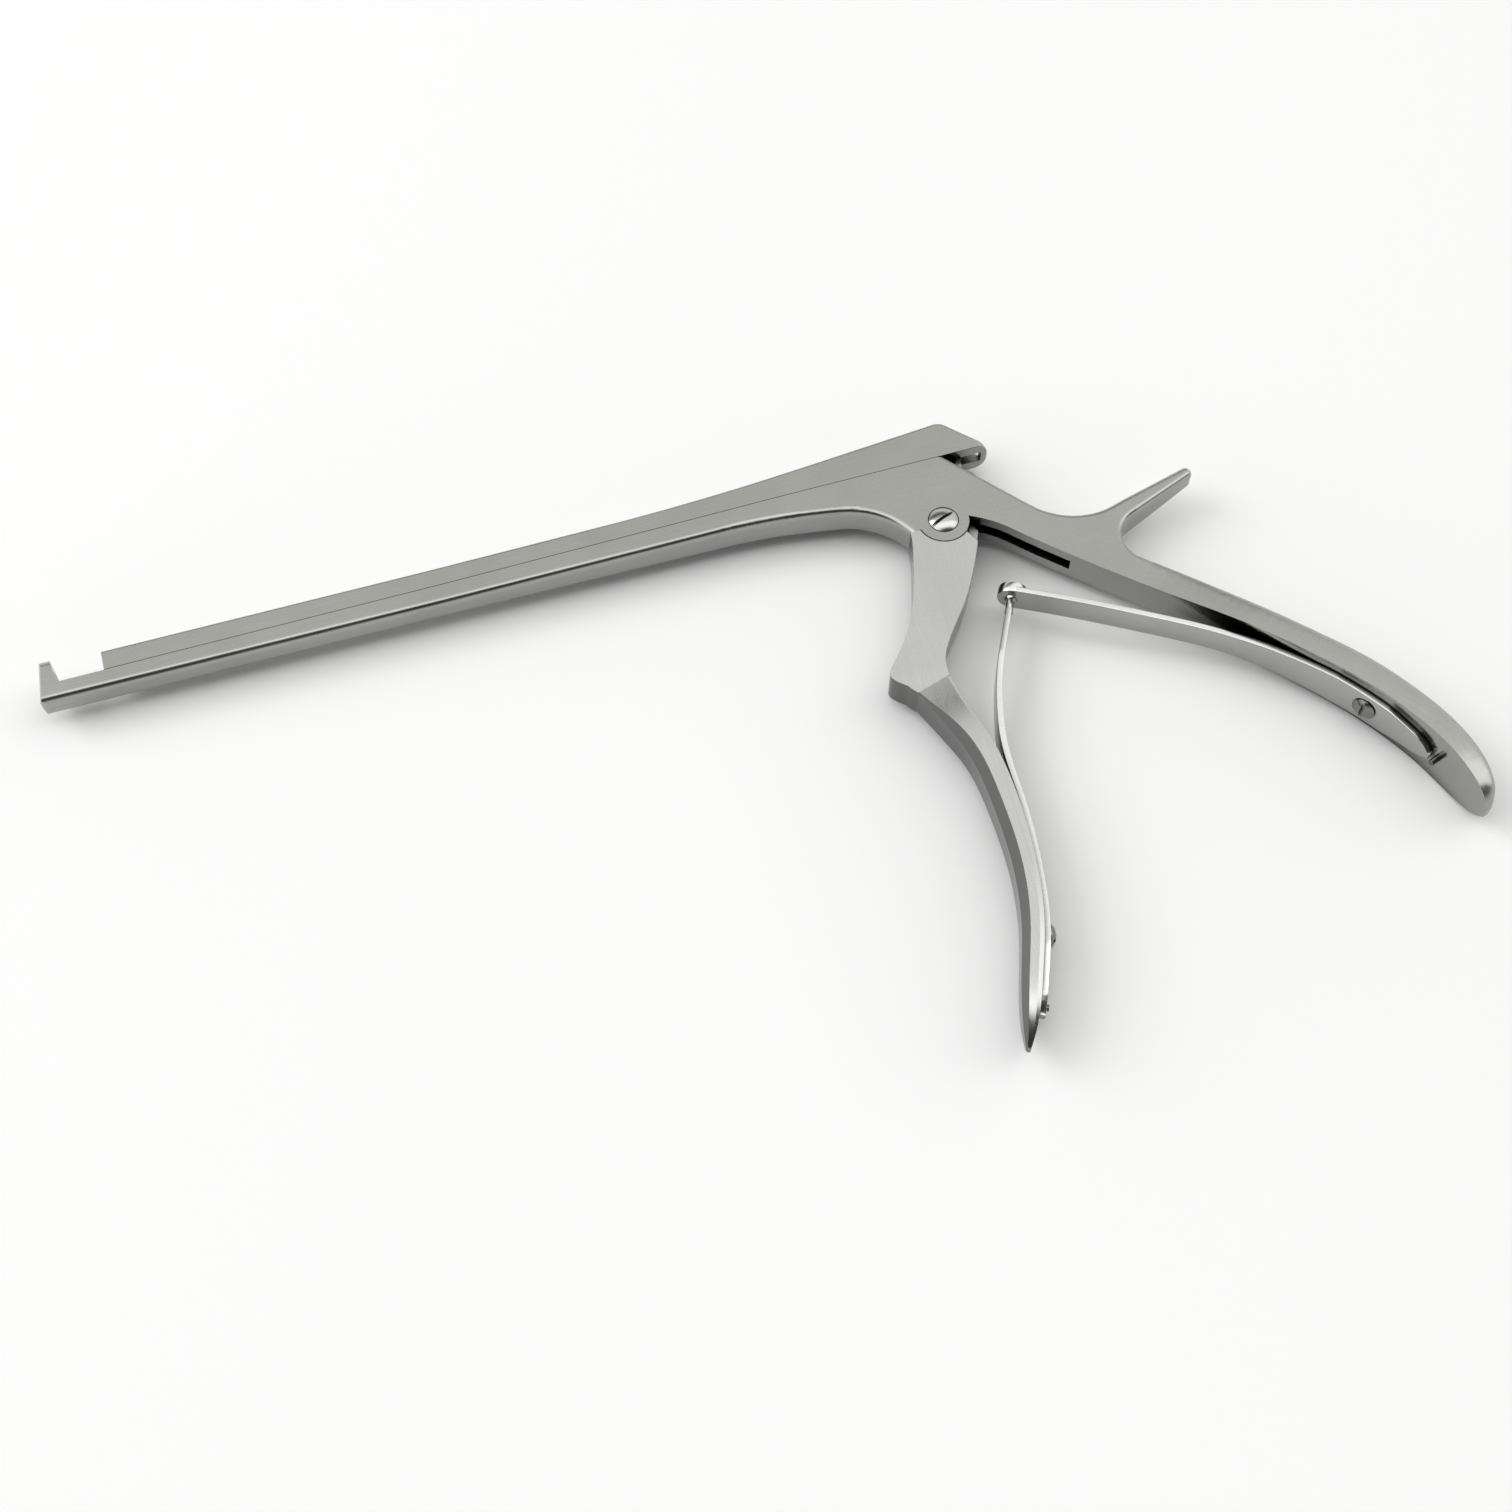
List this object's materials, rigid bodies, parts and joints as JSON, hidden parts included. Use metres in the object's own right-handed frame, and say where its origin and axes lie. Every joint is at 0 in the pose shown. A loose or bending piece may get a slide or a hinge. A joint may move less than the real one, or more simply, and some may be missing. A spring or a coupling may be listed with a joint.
{
  "type": "bone rongeur",
  "caption": "Bone punch with an upturned footplate, a shaft that slides along it when the trigger is squeezed, and a double leaf spring between the handles that opens it again.",
  "frame": {"origin": "below the middle of the instrument's box, on the plane it lies on", "axes": "+X along the shaft from the footplate towards the handles, +Y towards the slider's side, +Z out of the side it doesn't lie on"},
  "size_m": [0.2698, 0.1404, 0.0128],
  "materials": {
    "satin_steel": "satin",
    "spring_steel": "satin",
    "screw_steel": "polished"
  },
  "bodies": {
    "frame": {"frame": "satin_steel", "pivot_screw": "screw_steel", "rear_spring_root": "spring_steel", "rear_spring_screw": "screw_steel", "rear_spring_pin": "screw_steel"},
    "slider": {"slider": "satin_steel", "slider_drive_pin": "screw_steel"},
    "trigger": {"trigger": "satin_steel", "front_spring_root": "spring_steel", "front_spring_screw": "screw_steel", "front_spring_pin": "screw_steel"},
    "rear_leaf": {"rear_spring_arm": "spring_steel"},
    "front_leaf": {"front_spring_arm": "spring_steel"}
  },
  "joints": [
    {"name": "trigger_pivot", "type": "hinge", "parent": "frame", "child": "trigger", "pos_m": [0.05317, 0.04536, 0.00641], "axis": [0, 0, 1], "range_deg": [0, 28.8], "stiffness_Nm_per_rad": 1.9, "springref_deg": -11.46},
    {"name": "slider_slide", "type": "slide", "parent": "frame", "child": "slider", "axis": [-1, 0, 0], "range_m": [0, 0.0094]},
    {"name": "rear_leaf_flex", "type": "hinge", "parent": "frame", "child": "rear_leaf", "pos_m": [0.10917, -0.00684, 0.00641], "axis": [0, 0, 1], "range_deg": [-6.3, 0]},
    {"name": "front_leaf_flex", "type": "hinge", "parent": "trigger", "child": "front_leaf", "pos_m": [0.04497, -0.02064, 0.00641], "axis": [0, 0, 1], "range_deg": [0, 6.85]}
  ],
  "couplings": [
    {"joint": "slider_slide", "follows": "trigger_pivot", "m_per_rad": 0.0185},
    {"joint": "rear_leaf_flex", "follows": "trigger_pivot", "ratio": -0.2164},
    {"joint": "front_leaf_flex", "follows": "trigger_pivot", "ratio": 0.2353}
  ]
}
